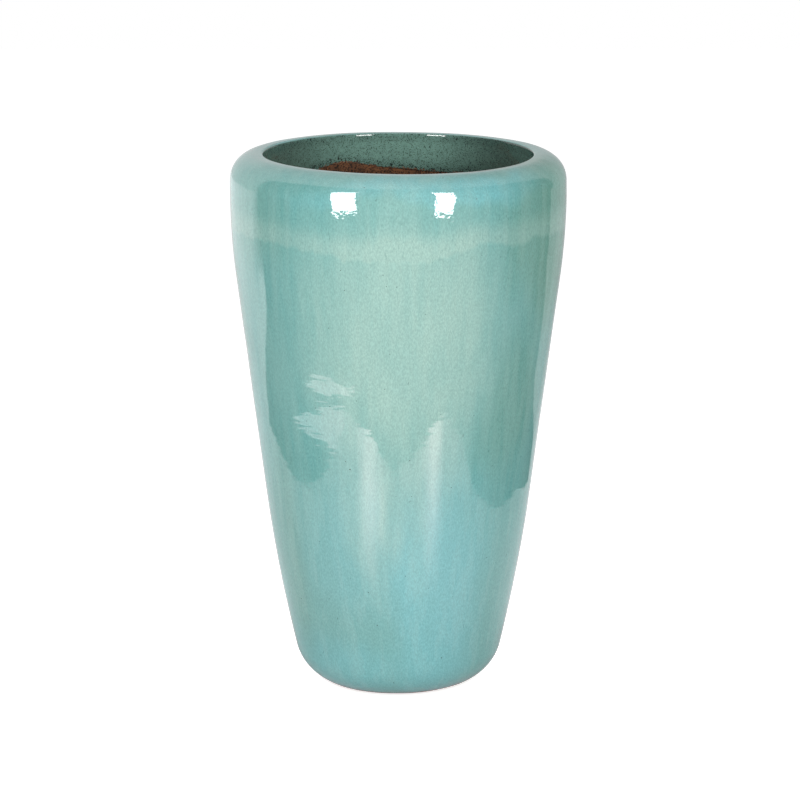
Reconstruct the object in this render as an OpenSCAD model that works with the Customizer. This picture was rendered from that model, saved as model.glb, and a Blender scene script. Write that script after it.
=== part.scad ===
// Tall glazed terracotta garden pot: a fired clay vessel with a drain hole,
// and the glaze fused over its outside, its lip and the top of its inside.
// Millimetres. +Z is up, and the origin is the centre of the foot, on the ground.
// The outline is a chain of tangent arcs, so the glaze, the clay under it and
// the inside wall are all the same chain at different depths.

/* [Overall] */
// Height from the ground to the crest of the lip
body_h = 800; // [740:5:900]
// Diameter at the widest point, below the shoulder
belly_d = 496; // [460:2:560]
// Width from the widest point in to the edge of the mouth
rim_w = 48.5; // [47:0.5:64]

/* [Side] */
// Radius of the shoulder, which rolls inward to the lip
shoulder_r = 38; // [30:0.5:40]
// Turn of the side past vertical before the shoulder starts, in degrees
shoulder_turn = 1.2; // [0.6:0.1:2]
// Height of the top of the straight flank, as a share of the pot's height
flank_top_share = 0.77; // [0.6:0.01:0.78]
// Height of the bottom of the straight flank, as a share of the pot's height
flank_bottom_share = 0.375; // [0.25:0.005:0.5]
// Lean of the straight flank from vertical, in degrees
flank_lean = 7.2; // [6:0.1:8.5]

/* [Foot] */
// Radius of the rounded heel
heel_r = 73; // [60:1:85]
// Lean of the side where it meets the heel, in degrees
heel_lean = 13; // [10:0.5:16]
// Depth that the ground plane cuts off the heel's roundness
heel_cut = 4.6; // [3:0.2:8]
// Width of the flat ring that the pot stands on
foot_ring_w = 24; // [16:1:34]
// Depth of the hollow inside the foot ring
foot_hollow = 4; // [2:0.5:6]

/* [Clay] */
// Thickness of the clay wall
clay_t = 12; // [10:0.5:18]
// Height of the floor inside, at its middle
floor_z = 22; // [18:1:32]
// Radius that rounds the edge of the lip at its crest
lip_r = 3; // [3:0.5:5.5]
// Depth from the crest of the lip to the bottom of the upright face inside the rim
rim_face = 34; // [28:1:38]
// Radius that rounds the underside of the rim
under_r = 50; // [44:1:54]
// Radius of the neck, the hollow between the underside of the rim and the wall
neck_r = 80; // [60:5:90]
// Diameter of the drain hole
drain_d = 30; // [18:1:50]

/* [Glaze] */
// Thickness of the glaze
glaze_t = 1; // [0.6:0.1:2]
// Height of the bare clay that the glaze leaves at the foot
bare_foot = 5; // [3:0.5:14]
// Depth of the glaze inside the mouth, from the crest of the lip
glaze_depth = 57; // [42:1:66]

/* [Hidden] */
$fn = 180;

// Pieces in each arc of the outline
long_arc_n = 14;
turn_arc_n = 16;
lip_arc_n = 6;
// Points closer together than this are one point
same_point = 0.001;
// The drain cutter runs past both faces of the floor by this much
cut_past = 1;
// Width of the slope at the edge of the hollow inside the foot ring
hollow_slope_w = 8;

belly_r = belly_d / 2;
mouth_r = belly_r - rim_w;
flank_top = body_h * flank_top_share;
flank_bottom = body_h * flank_bottom_share;
// Height where the side meets the heel
heel_z = heel_r * (1 - sin(heel_lean)) - heel_cut;
// Height where the side meets the shoulder
shoulder_z = body_h - shoulder_r * (1 - sin(shoulder_turn));
// Depth of the inside glaze surface below the outside one
wall_t = clay_t + 2 * glaze_t;

function polar(r, a) = [r * cos(a), r * sin(a)];

// Side above the flank: one arc that leans out, turns vertical at the belly and leans in
upper_r = (shoulder_z - flank_top) / (sin(flank_lean) + sin(shoulder_turn));
upper_c = [belly_r - upper_r, flank_top + upper_r * sin(flank_lean)];

// Straight flank
flank_start = upper_c + polar(upper_r, -flank_lean);
flank_end = flank_start - (flank_top - flank_bottom) * [tan(flank_lean), 1];

// Side below the flank
lower_r = (flank_bottom - heel_z) / (sin(heel_lean) - sin(flank_lean));
lower_c = flank_end - polar(lower_r, -flank_lean);

// Heel
heel_c = lower_c + polar(lower_r - heel_r, -heel_lean);

// Shoulder, which ends level at the crest of the lip
shoulder_c = upper_c + polar(upper_r - shoulder_r, shoulder_turn);

// Edge of the lip at its crest, and the rounded underside of the rim
lip_c = [mouth_r + lip_r, body_h - lip_r];
under_c = [mouth_r + under_r, body_h - rim_face];

// Neck: its arc touches the underside of the rim and the inside wall, so its centre stands at
// known distances from the centres of both, and the law of cosines gives its direction
neck_reach = upper_r - wall_t - neck_r;
under_way = under_c - upper_c;
neck_turn = atan2(under_way.y, under_way.x) - acos(
    (neck_reach ^ 2 + norm(under_way) ^ 2 - (under_r + neck_r) ^ 2) / (2 * neck_reach * norm(under_way))
);
neck_c = upper_c + polar(neck_reach, neck_turn);
// Lean of the surface from vertical where the underside of the rim meets the neck
neck_lean = atan2(under_c.y - neck_c.y, under_c.x - neck_c.x);

// Angle at which a circle of radius r about centre c stands at height z
function angle_at(c, r, z) = asin((z - c.y) / r);

function arc(c, r, from, to, n) =
    [for (i = [0:n]) c + polar(r, from + (to - from) * i / n)];

// Outside of the pot at depth g, from height z near the ground up to the crest
function outside(g, z) = concat(
    arc(heel_c, heel_r - g, angle_at(heel_c, heel_r - g, z), -heel_lean, turn_arc_n),
    arc(lower_c, lower_r - g, -heel_lean, -flank_lean, long_arc_n),
    arc(upper_c, upper_r - g, -flank_lean, shoulder_turn, long_arc_n),
    arc(shoulder_c, shoulder_r - g, shoulder_turn, 90, turn_arc_n)
);

// Rim inside the mouth at depth g, from the crest of the lip down to an angle on its underside
function rim(g, end_angle) = concat(
    arc(lip_c, lip_r - g, 90, 180, lip_arc_n),
    arc(under_c, under_r - g, 180, end_angle, turn_arc_n)
);

// Inside wall at depth g, from the neck down to the floor
function inside_wall(g) =
    let (r = heel_r - wall_t + g)
    concat(
        arc(neck_c, neck_r + g, neck_lean, neck_turn, turn_arc_n),
        arc(upper_c, upper_r - wall_t + g, neck_turn, -flank_lean, long_arc_n),
        arc(lower_c, lower_r - wall_t + g, -flank_lean, -heel_lean, long_arc_n),
        arc(heel_c, r, -heel_lean, angle_at(heel_c, r, floor_z), turn_arc_n)
    );

// Glaze surface, or the clay surface under it, from the foot round to the glaze's inside edge,
// which lies on the underside of the rim
function glazed_path(g) = concat(
    outside(g, bare_foot),
    rim(g, 180 + min(neck_lean, asin((glaze_depth - rim_face) / (under_r - g))))
);

function reversed(v) = [for (i = [len(v) - 1:-1:0]) v[i]];

// Neighbouring arcs share their end points, so each repeat is dropped
function without_repeats(v) = [
    for (i = [0:len(v) - 1])
        if (norm(v[i] - v[(i + 1) % len(v)]) > same_point) v[i]
];

module turned(points) {
    rotate_extrude() polygon(without_repeats(points));
}

module clay_body() {
    clay_outside = outside(glaze_t, 0);
    hollow_r = clay_outside[0].x - foot_ring_w;
    color("sienna")
    difference() {
        turned(concat(
            clay_outside,
            rim(glaze_t, 180 + neck_lean),
            inside_wall(glaze_t),
            [[0, floor_z], [0, foot_hollow], [hollow_r - hollow_slope_w, foot_hollow], [hollow_r, 0]]
        ));
        translate([0, 0, -cut_past]) cylinder(h = floor_z + 2 * cut_past, d = drain_d);
    }
}

module glaze_coat() {
    color("mediumaquamarine")
    turned(concat(glazed_path(0), reversed(glazed_path(glaze_t))));
}

clay_body();
glaze_coat();
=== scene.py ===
"""Looks of the tall glazed planter: the fired clay vessel and its glaze, on a white studio floor.

Lengths are in metres. The front of the pot, which the camera sees, faces -Y.
"""
import math

import bpy
import numpy as np
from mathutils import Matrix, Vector


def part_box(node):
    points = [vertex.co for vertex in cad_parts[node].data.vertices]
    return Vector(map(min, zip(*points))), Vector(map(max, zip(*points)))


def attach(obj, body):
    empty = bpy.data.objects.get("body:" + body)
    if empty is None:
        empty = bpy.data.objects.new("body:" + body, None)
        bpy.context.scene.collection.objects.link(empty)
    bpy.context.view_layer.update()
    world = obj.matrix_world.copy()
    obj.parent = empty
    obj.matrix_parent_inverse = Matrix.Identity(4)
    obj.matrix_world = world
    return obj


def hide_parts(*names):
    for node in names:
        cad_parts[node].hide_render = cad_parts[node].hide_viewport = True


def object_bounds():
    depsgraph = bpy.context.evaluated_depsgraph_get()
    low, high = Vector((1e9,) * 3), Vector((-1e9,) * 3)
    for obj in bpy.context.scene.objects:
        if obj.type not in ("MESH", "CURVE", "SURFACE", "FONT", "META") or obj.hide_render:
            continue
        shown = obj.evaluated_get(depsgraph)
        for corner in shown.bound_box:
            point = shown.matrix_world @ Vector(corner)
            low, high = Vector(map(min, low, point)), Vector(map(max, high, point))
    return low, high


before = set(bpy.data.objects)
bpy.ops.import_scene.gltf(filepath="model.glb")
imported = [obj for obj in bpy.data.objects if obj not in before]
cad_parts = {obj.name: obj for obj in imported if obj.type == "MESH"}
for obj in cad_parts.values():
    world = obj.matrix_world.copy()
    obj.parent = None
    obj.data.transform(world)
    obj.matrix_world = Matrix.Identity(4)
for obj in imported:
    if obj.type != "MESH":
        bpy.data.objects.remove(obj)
cad_low, cad_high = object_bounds()

MM = 0.001
HEIGHT = cad_high.z
BELLY_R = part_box("glaze_coat")[1].x
GLAZE_FOOT_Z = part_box("glaze_coat")[0].z

# The outline, as in the CAD model: a chain of tangent arcs
RIM_W = 48.5 * MM
SHOULDER_R = 38 * MM
SHOULDER_TURN = math.radians(1.2)
FLANK_TOP = 0.77 * HEIGHT
FLANK_BOTTOM = 0.375 * HEIGHT
FLANK_LEAN = math.radians(7.2)
HEEL_R = 73 * MM
HEEL_LEAN = math.radians(13)
HEEL_CUT = 4.6 * MM
LIP_R = 3 * MM
RIM_FACE = 34 * MM
UNDER_R = 50 * MM
NECK_R = 80 * MM
GLAZE_T = 1 * MM
WALL_T = 12 * MM + 2 * GLAZE_T
FLOOR_Z = 22 * MM
DRAIN_R = 15 * MM
FOOT_RING_W = 24 * MM
FOOT_HOLLOW = 4 * MM
HOLLOW_SLOPE_W = 8 * MM

# Points round each ring, few enough to keep each mesh under 200,000 triangles
AROUND = 336
CLAY_AROUND = 288


# ---------------------------------------------------------------- outline

def polar(r, a):
    return np.array([r * math.cos(a), r * math.sin(a)])


class Outline:
    """The outline's arcs. Each run is points (r, z) and outward normals along one of them."""

    def __init__(self):
        shoulder_z = HEIGHT - SHOULDER_R * (1 - math.sin(SHOULDER_TURN))
        heel_z = HEEL_R * (1 - math.sin(HEEL_LEAN)) - HEEL_CUT
        self.upper_r = (shoulder_z - FLANK_TOP) / (math.sin(FLANK_LEAN) + math.sin(SHOULDER_TURN))
        self.upper_c = np.array([BELLY_R - self.upper_r, FLANK_TOP + self.upper_r * math.sin(FLANK_LEAN)])
        flank_start = self.upper_c + polar(self.upper_r, -FLANK_LEAN)
        flank_end = flank_start - (FLANK_TOP - FLANK_BOTTOM) * np.array([math.tan(FLANK_LEAN), 1])
        self.lower_r = (FLANK_BOTTOM - heel_z) / (math.sin(HEEL_LEAN) - math.sin(FLANK_LEAN))
        self.lower_c = flank_end - polar(self.lower_r, -FLANK_LEAN)
        self.heel_c = self.lower_c + polar(self.lower_r - HEEL_R, -HEEL_LEAN)
        self.shoulder_c = self.upper_c + polar(self.upper_r - SHOULDER_R, SHOULDER_TURN)
        mouth_r = BELLY_R - RIM_W
        self.lip_c = np.array([mouth_r + LIP_R, HEIGHT - LIP_R])
        self.under_c = np.array([mouth_r + UNDER_R, HEIGHT - RIM_FACE])
        # The neck's arc touches the underside of the rim and the inside wall
        reach = self.upper_r - WALL_T - NECK_R
        way = self.under_c - self.upper_c
        apart = np.linalg.norm(way)
        cosine = (reach ** 2 + apart ** 2 - (UNDER_R + NECK_R) ** 2) / (2 * reach * apart)
        self.neck_turn = math.atan2(way[1], way[0]) - math.acos(cosine)
        self.neck_c = self.upper_c + polar(reach, self.neck_turn)
        back = self.under_c - self.neck_c
        self.neck_lean = math.atan2(back[1], back[0])

    @staticmethod
    def angle_at(centre, r, z):
        return math.asin((z - centre[1]) / r)

    @staticmethod
    def arc(centre, r, start, end, step, inward=False):
        """Points every step along an arc, and normals away from its centre, or towards it."""
        n = max(2, math.ceil(abs(end - start) * r / step))
        a = np.linspace(start, end, n + 1)
        out = np.stack([np.cos(a), np.sin(a)], axis=1)
        return np.hstack([centre + r * out, -out if inward else out])

    @staticmethod
    def line(first, last, step):
        """Points between the ends of two runs, with the normals of the ends blended."""
        n = max(2, math.ceil(np.linalg.norm(last[:2] - first[:2]) / step))
        return first + (last - first) * np.linspace(0, 1, n + 1)[:, None]

    def outside(self, z, side, turn):
        """From height z at the foot up to the crest, at the given steps on the side and on tight turns."""
        heel = self.arc(self.heel_c, HEEL_R, self.angle_at(self.heel_c, HEEL_R, z), -HEEL_LEAN, turn)
        lower = self.arc(self.lower_c, self.lower_r, -HEEL_LEAN, -FLANK_LEAN, side)
        upper = self.arc(self.upper_c, self.upper_r, -FLANK_LEAN, SHOULDER_TURN, side)
        shoulder = self.arc(self.shoulder_c, SHOULDER_R, SHOULDER_TURN, math.pi / 2, turn)
        return [heel, lower, self.line(lower[-1], upper[0], side), upper, shoulder]

    def rim_face(self, step):
        """The lip's edge from the crest, and the upright face under it."""
        edge = self.arc(self.lip_c, LIP_R, math.pi / 2, math.pi, step)
        face_end = np.array([*(self.under_c - (UNDER_R, 0)), -1, 0])
        return [edge, self.line(edge[-1], face_end, step)]

    def inside_wall(self, side, turn):
        """From the upright face of the rim round its underside and the neck, and down to the floor."""
        under = self.arc(self.under_c, UNDER_R, math.pi, math.pi + self.neck_lean, turn)
        neck = self.arc(self.neck_c, NECK_R, self.neck_lean, self.neck_turn, turn, inward=True)
        upper = self.arc(self.upper_c, self.upper_r - WALL_T, self.neck_turn, -FLANK_LEAN, side, inward=True)
        lower = self.arc(self.lower_c, self.lower_r - WALL_T, -FLANK_LEAN, -HEEL_LEAN, side, inward=True)
        r = HEEL_R - WALL_T
        end = self.angle_at(self.heel_c, r, FLOOR_Z)
        return [under, neck, upper, lower, self.arc(self.heel_c, r, -HEEL_LEAN, end, turn, inward=True)]


def joined(runs, step):
    """One path of the runs, with straight links where two don't touch, and no repeated points."""
    path = [runs[0]]
    for run in runs[1:]:
        last = path[-1][-1]
        if np.linalg.norm(run[0, :2] - last[:2]) > step:
            path.append(Outline.line(last, run[0], step))
        path.append(run)
    path = np.vstack(path)
    gaps = np.linalg.norm(np.diff(path[:, :2], axis=0), axis=1)
    return path[np.concatenate([[True], gaps > 0.01 * MM])]


# ---------------------------------------------------------------- relief

def waves(points, wavelength, count, seed):
    """Smooth noise of about unit size: plane waves in random directions, near one wavelength."""
    rng = np.random.default_rng(seed)
    total = np.zeros(points.shape[:-1])
    for _ in range(count):
        direction = rng.normal(size=3)
        direction /= np.linalg.norm(direction)
        k = 2 * math.pi / (wavelength * rng.uniform(0.75, 1.35))
        total += np.sin(k * (points @ direction) + rng.uniform(0, 2 * math.pi))
    return total * math.sqrt(2 / count)


# The pot is out of round, in two and in three lobes, and uneven in broad and in fine waves
TWO_LOBES = 0.5 * MM
THREE_LOBES = 0.3 * MM
BROAD_RELIEF = 0.12 * MM
BROAD_LENGTH = 110 * MM
FINE_RELIEF = 0.025 * MM
FINE_LENGTH = 38 * MM
# Its rim rises to the left, by up to twice this, from this share of the height up
RIM_RISE = 0.6 * MM
RISE_FROM = 0.96


def hand_made(points):
    """How far the thrown and glazed surface stands proud of a perfect turned one."""
    around = np.arctan2(points[..., 0], -points[..., 1])
    share = points[..., 2] / HEIGHT
    relief = TWO_LOBES * np.cos(2 * around + 0.8 + 1.5 * share)
    relief += THREE_LOBES * np.cos(3 * around + 2.1 - share)
    relief += BROAD_RELIEF * waves(points, BROAD_LENGTH, 24, seed=3)
    relief += FINE_RELIEF * waves(points, FINE_LENGTH, 32, seed=4)
    upper = np.clip((share - RISE_FROM) / (1 - RISE_FROM), 0, 1)
    return relief + RIM_RISE * (1 - np.sin(around)) * upper


def spun(r, z):
    """Points at radius r and height z, both of shape (rings, around), with one angle for each column."""
    a = np.arange(r.shape[1]) * 2 * math.pi / r.shape[1]
    return np.stack([r * np.sin(a), -r * np.cos(a), z], axis=-1)


def turned(path, around):
    """The path's rings of points and normals in 3-D: two arrays of shape (rings, around, 3)."""
    columns = np.repeat(path[:, None, :], around, axis=1)
    return spun(columns[..., 0], columns[..., 1]), spun(columns[..., 2], columns[..., 3])


def closed_mesh(name, rings, attributes):
    """A mesh of rings that closes both ways, as a ring doughnut does, with attributes on its points."""
    count, around = rings.shape[:2]
    index = np.arange(count * around).reshape(count, around)
    ahead, beside = np.roll(index, -1, axis=0), np.roll(index, -1, axis=1)
    corner = np.roll(ahead, -1, axis=1)
    faces = np.stack([index, beside, corner, ahead], axis=-1).reshape(-1, 4)
    mesh = bpy.data.meshes.new(name)
    mesh.vertices.add(count * around)
    mesh.vertices.foreach_set("co", rings.astype(np.float32).ravel())
    mesh.loops.add(faces.size)
    mesh.loops.foreach_set("vertex_index", faces.astype(np.int32).ravel())
    mesh.polygons.add(len(faces))
    mesh.polygons.foreach_set("loop_start", np.arange(0, faces.size, 4, dtype=np.int32))
    mesh.polygons.foreach_set("use_smooth", np.ones(len(faces), bool))
    mesh.update(calc_edges=True)
    mesh.validate()
    for key, values in attributes.items():
        layer = mesh.attributes.new(key, "FLOAT", "POINT")
        layer.data.foreach_set("value", np.ascontiguousarray(values, np.float32).ravel())
    piece = bpy.data.objects.new(name, mesh)
    bpy.context.scene.collection.objects.link(piece)
    return piece


# ---------------------------------------------------------------- pieces

# The glaze's edge inside the mouth: its usual depth below the crest, and a shallow tongue of bare clay
EDGE_DEPTH = 59 * MM
TONGUE_RISE = 15 * MM
TONGUE_AT = math.radians(205)
TONGUE_HALF_W = math.radians(17)
UNDER_RINGS = 14
# The glaze thins out this near to its inside edge and to its foot, down to this share of its thickness
THINS_AT_EDGE = 8 * MM
THINS_AT_FOOT = 4 * MM
THINNEST = 0.12
# Spacing of the glaze's rings on the long side, on tight turns and on the lip
GLAZE_SIDE_STEP = 6 * MM
GLAZE_TURN_STEP = 2 * MM
GLAZE_LIP_STEP = 1.4 * MM
# The back of the glaze runs the other way, with every fourth ring
BACK = slice(None, None, -4)


def edge_depth(around):
    """Depth of the glaze's inside edge below the crest, at angles measured from the front."""
    away = (around - TONGUE_AT + math.pi) % (2 * math.pi) - math.pi
    runs = 1.2 * MM * np.sin(5 * around + 0.7) + 0.8 * MM * np.sin(11 * around + 2.0)
    return EDGE_DEPTH + runs - TONGUE_RISE * np.exp(-((away / TONGUE_HALF_W) ** 2))


def underside(outline):
    """Rings of glaze on the underside of the rim, drawn up or down so that the last follows the edge."""
    around = np.arange(AROUND) * 2 * math.pi / AROUND
    end = np.arcsin((edge_depth(around) - RIM_FACE) / UNDER_R)
    share = np.arange(1, UNDER_RINGS + 1) / UNDER_RINGS
    turn = math.pi + share[:, None] * end[None]
    out_r, out_z = np.cos(turn), np.sin(turn)
    points = spun(outline.under_c[0] + UNDER_R * out_r, outline.under_c[1] + UNDER_R * out_z)
    return points, spun(out_r, out_z)


def glaze_piece():
    """The glaze: its glossy surface, and a back that lies on the clay, thinning out to both edges."""
    outline = Outline()
    runs = outline.outside(GLAZE_FOOT_Z, GLAZE_SIDE_STEP, GLAZE_TURN_STEP)
    outside = joined(runs, GLAZE_TURN_STEP)
    path = joined([outside] + outline.rim_face(GLAZE_LIP_STEP), GLAZE_LIP_STEP)
    points, normals = turned(path, AROUND)
    under, under_normals = underside(outline)
    points = np.concatenate([points, under])
    normals = np.concatenate([normals, under_normals])
    points += normals * hand_made(points)[..., None]
    past_crest = (np.arange(len(points)) >= len(outside))[:, None]
    height = points[..., 2]
    from_edge = np.where(past_crest, height - height[-1], 1.0)
    from_foot = np.where(past_crest, 1.0, height - height[0])
    thin = np.minimum(from_edge / THINS_AT_EDGE, from_foot / THINS_AT_FOOT)
    thin = np.clip(thin, THINNEST, 1)
    back = (points - normals * (thin * GLAZE_T)[..., None])[BACK]
    depth = np.where(past_crest, HEIGHT - height, 0)
    attributes = {"edge": from_edge, "depth": depth}
    attributes = {key: np.concatenate([values, values[BACK]]) for key, values in attributes.items()}
    return closed_mesh("glaze", np.concatenate([points, back]), attributes)


# The clay's floor and foot stay flat: its relief starts at this height
RELIEF_FROM = 30 * MM
BEVEL = 1.5 * MM
# Spacing of the clay's rings on the hidden outside, on the lip, on tight turns and on the bare inside
HIDDEN_STEP = 14 * MM
CLAY_LIP_STEP = 2 * MM
CLAY_TURN_STEP = 4 * MM
BARE_STEP = 5 * MM


def clay_piece():
    """The clay: hidden under the glaze outside, and bare inside, on the floor and under the foot."""
    outline = Outline()
    runs = outline.outside(0, HIDDEN_STEP, CLAY_TURN_STEP) + outline.rim_face(CLAY_LIP_STEP)
    outside = joined(runs, CLAY_LIP_STEP)
    inside = joined(outline.inside_wall(BARE_STEP, CLAY_TURN_STEP), BARE_STEP)
    shell = joined([outside, inside], BARE_STEP)
    shell[:, :2] -= shell[:, 2:] * GLAZE_T
    foot_r = shell[0, 0]
    hollow_r = foot_r - FOOT_RING_W
    up, down = (0, 1), (0, -1)
    floor = [
        (shell[-1, 0], FLOOR_Z, *up),
        (DRAIN_R + BEVEL, FLOOR_Z, *up),
        (DRAIN_R, FLOOR_Z - BEVEL, -1, 0),
        (DRAIN_R, FOOT_HOLLOW + BEVEL, -1, 0),
        (DRAIN_R + BEVEL, FOOT_HOLLOW, *down),
        (hollow_r - HOLLOW_SLOPE_W, FOOT_HOLLOW, *down),
        (hollow_r, 0, *down),
        (foot_r, 0, *down),
    ]
    floor = np.array(floor, float)
    links = [Outline.line(a, b, CLAY_TURN_STEP) for a, b in zip(floor[:-1], floor[1:])]
    path = joined([shell] + links, BARE_STEP)[:-1]
    points, normals = turned(path, CLAY_AROUND)
    has_relief = path[:, 1] > RELIEF_FROM
    points += normals * hand_made(points)[..., None] * has_relief[:, None, None]
    return closed_mesh("clay_vessel", points, {})


# ---------------------------------------------------------------- materials

class Graph:
    """A shader node tree, built with one call per node."""

    def __init__(self, tree):
        self.tree = tree
        tree.nodes.clear()

    def feed(self, socket, value):
        if isinstance(value, bpy.types.NodeSocket):
            self.tree.links.new(value, socket)
        elif hasattr(socket.default_value, "__len__") and not hasattr(value, "__len__"):
            socket.default_value = [value] * len(socket.default_value)
        elif hasattr(value, "__len__") and len(value) == 3 and len(socket.default_value) == 4:
            socket.default_value = (*value, 1)
        else:
            socket.default_value = value

    def add(self, kind, sockets, out=0, **settings):
        node = self.tree.nodes.new(kind)
        for key, value in settings.items():
            setattr(node, key, value)
        for key, value in sockets.items():
            self.feed(node.inputs[key], value)
        return node.outputs[out] if node.outputs else None

    def maths(self, operation, a, b=0.0):
        return self.add("ShaderNodeMath", {0: a, 1: b}, operation=operation)

    def noise(self, vector, scale, detail=3.0, roughness=0.5):
        sockets = {"Vector": vector, "Scale": scale, "Detail": detail, "Roughness": roughness}
        return self.add("ShaderNodeTexNoise", sockets)

    def stretch(self, vector, factors, offset=(0, 0, 0)):
        return self.add("ShaderNodeMapping", {"Vector": vector, "Scale": factors, "Location": offset})

    def fade(self, value, low, high, to_low=0.0, to_high=1.0):
        """value's smooth step from to_low at low to to_high at high."""
        sockets = {"Value": value, "From Min": low, "From Max": high, "To Min": to_low, "To Max": to_high}
        return self.add("ShaderNodeMapRange", sockets, interpolation_type="SMOOTHSTEP")

    def blend(self, share, a, b, mode="MIX"):
        return self.add("ShaderNodeMix", {0: share, 6: a, 7: b}, out=2, data_type="RGBA", blend_type=mode)

    def plus(self, a, b):
        return self.maths("ADD", a, b)

    def minus(self, a, b):
        return self.maths("SUBTRACT", a, b)

    def times(self, a, b):
        return self.maths("MULTIPLY", a, b)

    def most(self, a, b):
        return self.maths("MAXIMUM", a, b)

    def part(self, vector, axis):
        """One of a vector's X, Y and Z."""
        return self.add("ShaderNodeSeparateXYZ", {"Vector": vector}, out=axis)


def new_material(name):
    material = bpy.data.materials.new(name)
    material.use_nodes = True
    return material, Graph(material.node_tree)


def finish_material(graph, sockets):
    surface = graph.add("ShaderNodeBsdfPrincipled", sockets)
    graph.add("ShaderNodeOutputMaterial", {"Surface": surface})


TEAL = (0.168, 0.408, 0.39)
PALE = (0.365, 0.555, 0.495)
BLUE = (0.184, 0.49, 0.511)
DARK_GREEN = (0.149, 0.324, 0.258)
FLECK_GREEN = (0.08, 0.20, 0.17)
INNER_GREEN = (0.215, 0.40, 0.335)
CLAY = (0.42, 0.175, 0.07)
CLAY_CLOUD = (0.20, 0.09, 0.042)
CLAY_DARK = (0.02, 0.014, 0.010)
IRON_SPOT = (0.015, 0.02, 0.018)
FOOT_STAIN = (0.12, 0.08, 0.055)
CLAY_ROUGHNESS = 0.9
GLAZE_ROUGHNESS = 0.02
GLAZE_IOR = 1.75


def clay_colour(g, place):
    """Fired red clay: cloudy, gritty, with dark specks."""
    cloud = g.fade(g.noise(place, 45, 4), 0.35, 0.7)
    colour = g.blend(cloud, CLAY, CLAY_CLOUD)
    grit = g.fade(g.noise(place, 330, 3, 0.75), 0.49, 0.57)
    return g.blend(g.times(grit, 0.95), colour, CLAY_DARK)


def clay_bump(g, place):
    grain = g.noise(place, 500, 4, 0.65)
    sockets = {"Height": grain, "Strength": 0.6, "Distance": 0.4 * MM}
    return g.add("ShaderNodeBump", sockets)


def clay_material():
    material, g = new_material("terracotta")
    place = g.add("ShaderNodeTexCoord", {}, out="Object")
    finish_material(g, {
        "Base Color": clay_colour(g, place),
        "Roughness": CLAY_ROUGHNESS,
        "Normal": clay_bump(g, place),
    })
    return material


# The shoulder's character fades in between these heights
SHOULDER_FROM = 0.62
SHOULDER_FULL = 0.75
# Depths of the dimples and of the throwing lines, below the shoulder and on it
DIMPLES = (0.015 * MM, 0.065 * MM)
THROWING_LINES = (0.08 * MM, 0.03 * MM)
PIT_DEPTH = 0.25 * MM


def pits(g, place):
    """Pinholes, a few to a hand's width."""
    return g.fade(g.noise(place, 240, 1, 0.5), 0.787, 0.82)


def glaze_bump(g, place, z):
    """The glaze's skin: faint throwing lines, and dimples on the shoulder, where it ran off the crest."""
    dimples = g.noise(place, 190, 1)
    dimple_depth = g.fade(z, SHOULDER_FROM, SHOULDER_FULL, *DIMPLES)
    lines = g.noise(g.stretch(place, (1, 1, 4)), 36, 1)
    line_depth = g.fade(z, SHOULDER_FROM, SHOULDER_FULL, *THROWING_LINES)
    skin = g.plus(g.times(dimples, dimple_depth), g.times(lines, line_depth))
    height = g.minus(skin, g.times(pits(g, place), PIT_DEPTH))
    return g.add("ShaderNodeBump", {"Height": height, "Strength": 1.0, "Distance": 1.0})


# Soft patches of each colour on the outside: degrees round from the front, height, half width in
# degrees, half height, and how strong the colour is in the middle
PALE_PATCHES = {
    "front column": (1, 0.58, 46, 0.29, 0.64),
    "left run of the column": (-13, 0.29, 12, 0.18, 0.34),
    "middle run of the column": (-3, 0.30, 8, 0.12, 0.34),
    "right run of the column": (11, 0.31, 11, 0.17, 0.20),
    "right edge of the column": (22, 0.42, 12, 0.12, 0.14),
    "left column": (-98, 0.56, 30, 0.28, 0.55),
    "right column": (104, 0.42, 34, 0.30, 0.60),
    "rear column": (172, 0.58, 44, 0.26, 0.65),
    "rear run": (-150, 0.26, 16, 0.20, 0.55),
}
BLUE_PATCHES = {
    "left of the column": (-16, 0.24, 34, 0.16, 0.4),
    "lower right": (22, 0.16, 36, 0.28, 0.85),
    "front of the shoulder": (22, 0.774, 72, 0.028, 1.0),
    "foot": (-40, 0.03, 60, 0.09, 0.6),
    "rear of the shoulder": (-140, 0.772, 90, 0.024, 0.6),
    "lower left": (-78, 0.30, 26, 0.30, 0.5),
    "lower rear": (150, 0.15, 50, 0.26, 0.9),
    "rear flank": (-132, 0.50, 28, 0.22, 0.6),
}
GREEN_PATCHES = {
    "right of the shoulder": (69, 0.71, 41, 0.20, 0.8),
    "left of the shoulder": (-54, 0.73, 26, 0.10, 0.25),
    "right flank": (50, 0.46, 26, 0.14, 0.45),
    "rear of the shoulder": (-160, 0.70, 50, 0.16, 0.7),
    "lower left": (-62, 0.22, 22, 0.26, 0.35),
}


def patches(g, around, z, rows):
    """The summed strength of patches."""
    total = 0.0
    for at, height, half_w, half_h, strength in rows.values():
        turn = g.add("ShaderNodeMath", {0: g.minus(around, at), 1: 180, 2: -180}, operation="WRAP")
        across = g.times(turn, 1 / half_w)
        up = g.times(g.minus(z, height), 1 / half_h)
        away = g.maths("SQRT", g.plus(g.times(across, across), g.times(up, up)))
        total = g.plus(g.fade(away, 0.3, 1.0, strength, 0.0), total)
    return total


# The drip band: the heights where its lower and upper edges start and end to fade in, its sag near
# the front, how far drift moves it, how long its drips are and how strong it is
BAND_BOTTOM = (0.694, 0.703)
BAND_TOP = (0.742, 0.712)
BAND_SAG = 18 * MM
SAG_AT = -5
SAG_HALF_W = 40
BAND_DRIFT = 30 * MM
DRIP_LENGTH = 35 * MM
BAND_STRENGTH = 0.30


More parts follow.
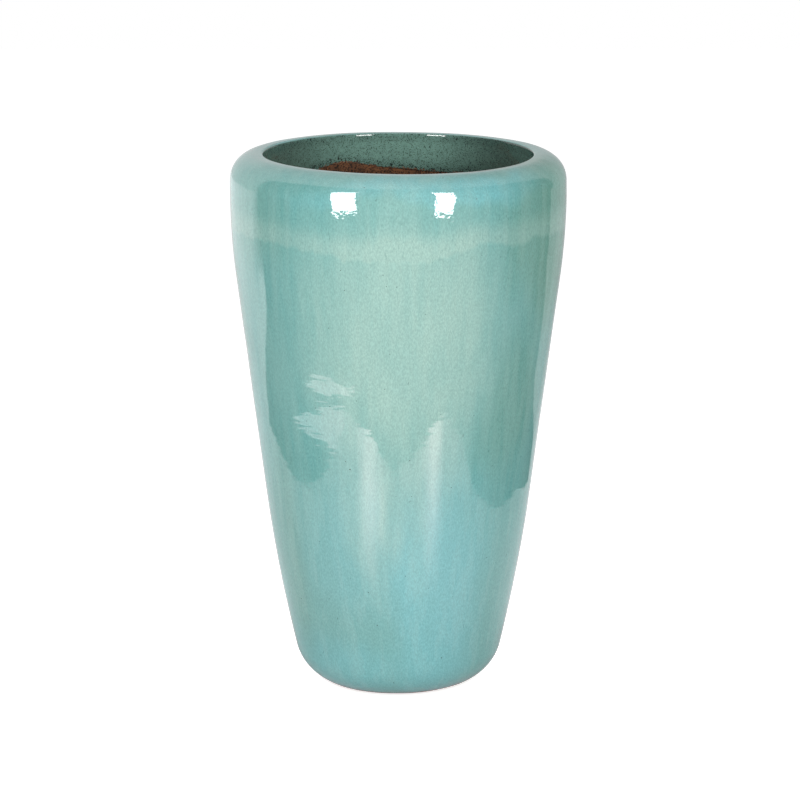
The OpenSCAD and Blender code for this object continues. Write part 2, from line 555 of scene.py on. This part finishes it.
def drip_band(g, place, around, z, drift):
    """A pale band under the shoulder, with a soft top and a lower edge of short drips."""
    off = g.maths("ABSOLUTE", g.minus(around, SAG_AT))
    sag = g.times(g.fade(off, 5, SAG_HALF_W, 1.0, 0.0), BAND_SAG)
    level = g.plus(g.plus(z, sag), g.times(drift, BAND_DRIFT))
    drips = g.noise(g.stretch(place, (1, 1, 0.15)), 42, 3, 0.6)
    bottom = g.plus(level, g.times(g.minus(drips, 0.5), DRIP_LENGTH))
    return g.times(g.fade(bottom, *BAND_BOTTOM), g.fade(level, *BAND_TOP))


def grained(g, place, z, colour):
    """The colour with fine grain drawn out down the side, dark green flecks, pinholes and dark marks."""
    grain = g.noise(g.stretch(place, (1, 1, 0.4)), 600, 2, 0.7)
    colour = g.blend(1.0, colour, g.fade(grain, 0.25, 0.75, 0.87, 1.15), "MULTIPLY")
    flecks = g.fade(g.noise(g.stretch(place, (1, 1, 0.28), (1, 4, 2)), 400, 3, 0.7), 0.56, 0.70)
    # There are more flecks above the drip band, and fewer again on the crest
    strong = g.times(g.fade(z, 0.66, 0.71, 0.10, 0.36), g.fade(z, 0.77, 0.74, 0.4, 1.0))
    colour = g.blend(g.times(flecks, strong), colour, FLECK_GREEN)
    marks = g.fade(g.noise(g.stretch(place, (1, 1, 0.10), (5, 1, 3)), 210, 1, 0.5), 0.80, 0.84)
    dark = g.most(g.times(pits(g, place), 0.85), g.times(marks, 0.6))
    return g.blend(dark, colour, IRON_SPOT)


# How far drift moves the patches, in degrees round the pot and in height
PATCH_SWAY = 34
PATCH_LIFT = 0.12


def outside_colour(g, place, z):
    """Teal that breaks to pale green, blue and dark green in soft patches, drawn out by thin runs."""
    x = g.part(place, "X")
    y = g.part(place, "Y")
    around = g.times(g.maths("ARCTAN2", x, g.times(y, -1.0)), 180 / math.pi)
    drift = g.minus(g.noise(g.stretch(place, (1, 1, 0.4)), 8, 5, 0.55), 0.5)
    swayed = g.plus(around, g.times(drift, PATCH_SWAY))
    lifted = g.plus(z, g.times(drift, PATCH_LIFT))
    runs = g.noise(g.stretch(place, (1, 1, 0.06)), 55, 4, 0.6)
    runs = g.fade(runs, 0.25, 0.75, -0.14, 0.16)
    pale = g.plus(patches(g, swayed, lifted, PALE_PATCHES), g.fade(z, 0.20, 0.48, 0.02, 0.20))
    pale = g.times(pale, g.fade(z, 0.75, 0.70, 0.66, 1.0))
    pale = g.plus(pale, g.times(drip_band(g, place, around, z, drift), BAND_STRENGTH))
    blue = g.plus(patches(g, swayed, lifted, BLUE_PATCHES), g.times(runs, 0.8))
    green = g.plus(patches(g, swayed, lifted, GREEN_PATCHES), g.times(drift, 0.2))
    colour = g.blend(blue, TEAL, BLUE)
    colour = g.blend(green, colour, DARK_GREEN)
    colour = g.blend(g.plus(pale, runs), colour, PALE)
    return grained(g, place, z, colour)


def inside_colour(g, place, edge, depth):
    """Thin dark green, with painted shade towards the sides, and iron spots that crowd along the crest and
    the edge.
    """
    mottle = g.fade(g.noise(place, 150, 5, 0.75), 0.3, 0.7, 0.82, 1.16)
    lip_shade = g.fade(depth, 12 * MM, 15 * MM, 0.86, 1.0)
    # Painted shade: the inside is darkened towards the sides, where less light falls into the mouth, most of
    # all on the right
    x = g.part(place, "X")
    side_shade = g.times(g.fade(x, 0.03, 0.17, 1.0, 0.35), g.fade(x, -0.07, -0.20, 1.0, 0.5))
    shade = g.times(g.times(mottle, lip_shade), side_shade)
    green = g.blend(1.0, INNER_GREEN, shade, "MULTIPLY")
    crowd = g.most(g.fade(edge, 16 * MM, 3 * MM), g.fade(depth, 14 * MM, 2 * MM, 0.0, 0.6))
    fine = g.minus(g.noise(place, 560, 2, 0.6), g.fade(crowd, 0, 1, 0.555, 0.50))
    coarse = g.minus(g.noise(place, 260, 3, 0.6), g.fade(crowd, 0, 1, 0.68, 0.56))
    speck = g.most(g.fade(fine, 0.0, 0.07, 0.0, 0.75), g.fade(coarse, 0.0, 0.03, 0.0, 0.9))
    return g.blend(speck, green, IRON_SPOT)


# How far noise shifts the glaze's edge on the clay
RAGGED = 26 * MM


def glaze_material():
    material, g = new_material("sea_green_glaze")
    place = g.add("ShaderNodeTexCoord", {}, out="Object")
    z = g.part(place, "Z")
    edge = g.add("ShaderNodeAttribute", {}, out="Fac", attribute_name="edge")
    depth = g.add("ShaderNodeAttribute", {}, out="Fac", attribute_name="depth")
    colour = outside_colour(g, place, z)
    inside = g.fade(depth, 0.05 * MM, 1.0 * MM)
    colour = g.blend(inside, colour, inside_colour(g, place, edge, depth))
    # The clay stains the glaze at the foot
    colour = g.blend(g.fade(z, 10 * MM, 5 * MM, 0.0, 0.7), colour, FOOT_STAIN)
    # Inside, it ends in a ragged, speckled edge on the clay
    ragged = g.plus(edge, g.times(g.minus(g.noise(place, 150, 6, 0.78), 0.5), RAGGED))
    covered = g.fade(ragged, 0.5 * MM, 1.8 * MM)
    colour = g.blend(covered, clay_colour(g, place), colour)
    finish_material(g, {
        "Base Color": colour,
        "Roughness": g.fade(covered, 0, 1, CLAY_ROUGHNESS, GLAZE_ROUGHNESS),
        "IOR": GLAZE_IOR,
        "Normal": glaze_bump(g, place, z),
    })
    return material


# ---------------------------------------------------------------- studio

CAMERA_AWAY = 4.494
CAMERA_UP = 1.486
CAMERA_DOWN = math.radians(13.27)
CAMERA_SHIFT = 0.0024
LENS_MM = 138.55
SENSOR_MM = 36

# The glowing cards: their distance from the front of the shoulder, and each one's corners as
# (azimuth, elevation) in degrees, seen from there
CARD_AWAY = 2.2
SHOULDER_FRONT = (0, -0.24, 0.76)
CARD_GLOW = 12
CARDS = {
    "card_left": [(-52, 34), (-33, 43), (-28, -9), (-46, -9)],
    "card_right": [(29.5, 45), (46.5, 38), (40, -9), (26, -9)],
}
# The soft lamps: their distance from the point they are aimed at and their height angle, seen from
# there, and each one's azimuth in degrees and power
LAMP_TARGET = Vector((0, 0, 0.5))
LAMP_AWAY = 2.4
LAMP_LIFT = math.radians(18)
LAMP_SIZE = (0.8, 1.6)
LAMPS = {"key_left": (-38, 25), "key_right": (30, 25), "back_left": (-132, 18), "back_right": (132, 18)}


def camera():
    data = bpy.data.cameras.new("camera")
    data.lens = LENS_MM
    data.sensor_width = SENSOR_MM
    data.shift_x = CAMERA_SHIFT
    seat = bpy.data.objects.new("camera", data)
    seat.location = (0, -CAMERA_AWAY, CAMERA_UP)
    seat.rotation_euler = (math.pi / 2 - CAMERA_DOWN, 0, 0)
    bpy.context.scene.collection.objects.link(seat)
    bpy.context.scene.camera = seat


def light_card(name, corners):
    """A glowing card, seen only in the glaze."""
    points = []
    for azimuth, elevation in corners:
        a, e = math.radians(azimuth), math.radians(elevation)
        way = CARD_AWAY * Vector((math.sin(a), -math.cos(a), math.tan(e)))
        points.append(Vector(SHOULDER_FRONT) + way)
    mesh = bpy.data.meshes.new(name)
    mesh.from_pydata(points, [], [(0, 1, 2, 3)])
    card = bpy.data.objects.new(name, mesh)
    bpy.context.scene.collection.objects.link(card)
    material, g = new_material(name)
    glow = g.add("ShaderNodeEmission", {"Color": (1, 1, 1), "Strength": CARD_GLOW})
    g.add("ShaderNodeOutputMaterial", {"Surface": glow})
    card.data.materials.append(material)
    card.visible_camera = card.visible_diffuse = card.visible_shadow = False


def studio_lamp(name, azimuth, power):
    """A soft lamp that lights the pot and doesn't show in the glaze."""
    a = math.radians(azimuth)
    across = math.cos(LAMP_LIFT)
    way = Vector((math.sin(a) * across, -math.cos(a) * across, math.sin(LAMP_LIFT)))
    data = bpy.data.lights.new(name, "AREA")
    data.energy = power
    data.shape = "RECTANGLE"
    data.size, data.size_y = LAMP_SIZE
    lamp = bpy.data.objects.new(name, data)
    lamp.location = LAMP_TARGET + LAMP_AWAY * way
    lamp.rotation_euler = (-way).to_track_quat("-Z", "Y").to_euler()
    lamp.visible_glossy = False
    bpy.context.scene.collection.objects.link(lamp)


# Brightness of the room in the glaze's reflections, and of the light that it gives everything else
WHITE_WALL = 0.80
DIM_WALL = 0.50
DARK_ROOM = 0.025
ROOM_LIGHT = 0.35
# Slopes of the backdrop's two edges, and how near and how bowed the ceiling's front edge is
BACKDROP_RIGHT = 0.80
BACKDROP_LEFT = 0.36
CEILING_NEAR = 0.52
CEILING_BOW = 0.96


def surroundings():
    """White to the eye, and a white backdrop and ceiling behind a dark room in the glaze's reflections."""
    world = bpy.data.worlds.new("studio")
    bpy.context.scene.world = world
    world.use_nodes = True
    world.cycles.sampling_method = "NONE"
    g = Graph(world.node_tree)
    way = g.add("ShaderNodeTexCoord", {}, out="Generated")
    x = g.part(way, "X")
    y = g.part(way, "Y")
    z = g.part(way, "Z")
    right = g.fade(g.minus(y, g.times(x, BACKDROP_RIGHT)), -0.01, 0.01)
    left = g.fade(g.plus(y, g.times(x, BACKDROP_LEFT)), -0.06, 0.06)
    bow = g.minus(g.times(z, z), g.times(g.times(x, x), CEILING_BOW))
    bow = g.plus(g.times(y, z), g.times(bow, CEILING_NEAR))
    ceiling = g.times(g.fade(bow, -0.02, 0.02), g.fade(z, 0.0, 0.05))
    white = g.most(g.times(left, right), ceiling)
    wall = g.fade(x, -0.3, 0.3, WHITE_WALL, DIM_WALL)
    mirrored = g.plus(g.times(white, wall), DARK_ROOM)
    glossy = g.add("ShaderNodeLightPath", {}, out="Is Glossy Ray")
    seen = g.add("ShaderNodeLightPath", {}, out="Is Camera Ray")
    strength = g.plus(g.times(g.minus(1.0, glossy), ROOM_LIGHT), g.times(glossy, mirrored))
    strength = g.plus(g.times(g.minus(1.0, seen), strength), seen)
    glow = g.add("ShaderNodeBackground", {"Color": (1, 1, 1), "Strength": strength})
    g.add("ShaderNodeOutputWorld", {"Surface": glow})


# The floor lies just under the foot, so that the two surfaces never coincide
FLOOR_Z_BELOW = -0.2 * MM
FLOOR_HALF_W = 8
FLOOR_WHITE = (0.85, 0.85, 0.85)
FLOOR_GLOW = 0.8
SHEET_Z = 1 * MM


def flat_object(name, corners, z):
    mesh = bpy.data.meshes.new(name)
    mesh.from_pydata([(x, y, z) for x, y in corners], [], [tuple(range(len(corners)))])
    sheet = bpy.data.objects.new(name, mesh)
    bpy.context.scene.collection.objects.link(sheet)
    return sheet


def floor():
    """A pale floor, dark in the glaze's reflections, where only the white sheets on it are bright."""
    far = FLOOR_HALF_W
    plane = flat_object("floor", [(-far, -far), (far, -far), (far, far), (-far, far)], FLOOR_Z_BELOW)
    material, g = new_material("floor")
    glossy = g.add("ShaderNodeLightPath", {}, out="Is Glossy Ray")
    seen = g.add("ShaderNodeLightPath", {}, out="Is Camera Ray")
    matt = g.add("ShaderNodeBsdfDiffuse", {"Color": FLOOR_WHITE})
    lit = g.add("ShaderNodeEmission", {"Color": (1, 1, 1), "Strength": g.times(seen, FLOOR_GLOW)})
    eye = g.add("ShaderNodeAddShader", {0: matt, 1: lit})
    mirror = g.add("ShaderNodeEmission", {"Color": (1, 1, 1), "Strength": DARK_ROOM})
    surface = g.add("ShaderNodeMixShader", {0: glossy, 1: eye, 2: mirror})
    g.add("ShaderNodeOutputMaterial", {"Surface": surface})
    plane.data.materials.append(material)


# White sheets on the studio floor, seen only in the glaze: the one the pot stands on, the
# backdrop's foot behind it, and two slips of paper at the front left
SHEETS = {
    "sheet": [
        (-0.68, -0.89), (-0.56, -0.93), (-0.35, -0.985), (-0.24, -0.965), (-0.19, -0.91),
        (-0.06, -0.875), (0.16, -0.91), (0.47, -0.91), (0.65, -0.88), (0.78, -0.67), (0.74, -0.4),
        (0.82, 0.1), (0.83, 0.38), (0.65, 0.8), (-1.08, 0.66), (-1.03, 0.3), (-0.82, -0.35),
        (-0.74, -0.64),
    ],
    "backdrop_foot": [
        (-8, 1.7), (-3.8, 0.9), (-1.8, 0.5), (-1.32, 0.7), (-1.08, 0.66), (0.65, 0.8), (0.8, 1.0),
        (1.25, 0.9), (1.5, 1.1), (2.24, 1.45), (3.2, 2.15), (8, 5.4), (8, 8), (-8, 8),
    ],
    "slip": [
        (-0.68, -0.89), (-0.74, -0.64), (-0.85, -0.56), (-1.15, -0.07), (-1.11, -0.31), (-0.9, -0.7),
    ],
    "far_slip": [
        (-1.25, -0.38), (-1.1, -0.57), (-0.59, -1.03), (-0.6, -1.05), (-0.97, -0.83), (-1.15, -0.62),
    ],
}
# Azimuth and half width of each lamp's glare in the sheets, in degrees, and its brightness
GLARES = ((-20, 6.4, 1.9), (27.2, 5.2, 2.0))
# In front of the pot, white paper looks faintly pink beside the sea green of the glaze
FRONT_PAPER = (1.0, 0.78, 0.80)
OTHER_PAPER = (0.87, 0.86, 0.87)
SHEET_GLOW = 0.93
SLIP_GLOW = 1.9


def sheet_material(name, brightness):
    """White paper, in which the lamps glare as two soft streaks towards them."""
    material, g = new_material(name)
    place = g.add("ShaderNodeTexCoord", {}, out="Object")
    x = g.part(place, "X")
    y = g.part(place, "Y")
    around = g.maths("ARCTAN2", x, g.times(y, -1.0))
    away = g.maths("SQRT", g.plus(g.times(x, x), g.times(y, y)))
    strength = brightness
    for azimuth, half_w, power in GLARES:
        off = g.maths("ABSOLUTE", g.minus(around, math.radians(azimuth)))
        streak = g.times(g.fade(off, 0.0, math.radians(2 * half_w), power, 0.0), g.fade(away, 0.35, 0.8))
        strength = g.plus(strength, streak)
    # The pot shades the sheet that it stands on
    strength = g.times(strength, g.fade(away, 0.10, 0.45, 0.5, 1.0))
    # Far to the left, the backdrop's foot fades out in a soft curve
    soft = g.fade(g.plus(y, g.times(x, BACKDROP_LEFT)), -0.4, 0.45)
    strength = g.times(strength, g.most(soft, g.fade(away, 2.9, 2.0)))
    # The sheets are brighter to the far left, and dimmer to the right
    left = g.fade(x, -0.9, -2.0, 1.0, 1.5)
    right = g.fade(x, 0.5, 1.0, 1.0, 0.62)
    strength = g.times(strength, g.times(left, right))
    aside = g.fade(g.maths("ABSOLUTE", around), math.radians(40), math.radians(80))
    paper = g.blend(g.most(g.fade(away, 1.0, 1.7), aside), FRONT_PAPER, OTHER_PAPER)
    glow = g.add("ShaderNodeEmission", {"Color": paper, "Strength": strength})
    g.add("ShaderNodeOutputMaterial", {"Surface": glow})
    return material


def white_sheets():
    for name, corners in SHEETS.items():
        sheet = flat_object(name, corners, SHEET_Z)
        sheet.data.materials.append(sheet_material(name, SLIP_GLOW if "slip" in name else SHEET_GLOW))
        sheet.visible_camera = sheet.visible_diffuse = sheet.visible_shadow = False


def dress(piece, material, node):
    """Gives a piece its material and its body, and hides the CAD node that it replaces."""
    piece.data.materials.append(material)
    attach(piece, "root")
    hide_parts(node)


def build():
    dress(glaze_piece(), glaze_material(), "glaze_coat")
    dress(clay_piece(), clay_material(), "clay_body")
    camera()
    surroundings()
    floor()
    white_sheets()
    for name, corners in CARDS.items():
        light_card(name, corners)
    for name, (azimuth, power) in LAMPS.items():
        studio_lamp(name, azimuth, power)
    bpy.context.scene.view_settings.view_transform = "Standard"


build()
